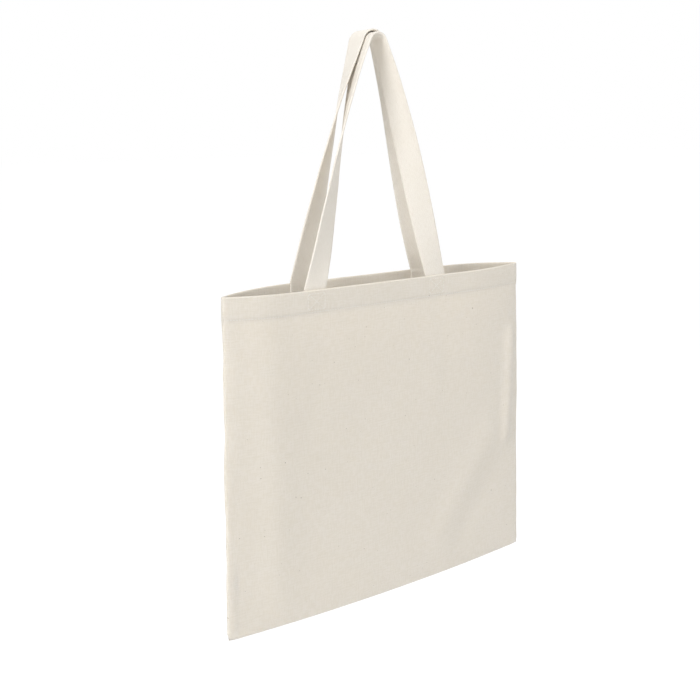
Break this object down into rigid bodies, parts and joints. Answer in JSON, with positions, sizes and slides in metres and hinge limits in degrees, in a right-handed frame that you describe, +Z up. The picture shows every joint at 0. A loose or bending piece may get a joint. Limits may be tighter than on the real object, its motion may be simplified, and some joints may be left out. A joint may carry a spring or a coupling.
{
  "type": "canvas tote bag",
  "caption": "Flat open-topped canvas shopping tote hanging by long webbing handles, with a turned hem and boxed-cross stitching.",
  "frame": {"origin": "underside of the handles' crown, where a hook, peg or hand carries the bag", "axes": "+Z up, +X along the mouth to the right of someone facing the front, the front panel faces -Y"},
  "size_m": [0.398, 0.037, 0.5939],
  "materials": {
    "canvas": "plain-woven unbleached cotton canvas, matt",
    "webbing": "ribbed cotton webbing, matt",
    "thread": "matt cotton sewing thread",
    "overlock": "matt cotton overlock thread"
  },
  "bodies": {
    "bag": {"front_panel": "canvas", "back_panel": "canvas", "front_handle_left_end": "webbing", "front_left_cross_stitch": "thread", "front_handle_right_end": "webbing", "front_right_cross_stitch": "thread", "front_hem_thread": "thread", "back_handle_left_end": "webbing", "back_left_cross_stitch": "thread", "back_handle_right_end": "webbing", "back_right_cross_stitch": "thread", "back_hem_thread": "thread", "left_seam_thread": "thread", "left_overlock_thread": "overlock", "right_seam_thread": "thread", "right_overlock_thread": "overlock", "bottom_seam_thread": "thread", "bottom_overlock_thread": "overlock"},
    "front_loop": {"front_handle": "webbing"},
    "back_loop": {"back_handle": "webbing"}
  },
  "joints": [
    {"name": "front_handle_fold", "type": "hinge", "parent": "bag", "child": "front_loop", "pos_m": [0, -0.0124, -0.2427], "axis": [1, 0, 0], "range_deg": [0, 175]},
    {"name": "back_handle_fold", "type": "hinge", "parent": "bag", "child": "back_loop", "pos_m": [0, 0.0184, -0.2387], "axis": [-1, 0, 0], "range_deg": [0, 175]}
  ]
}
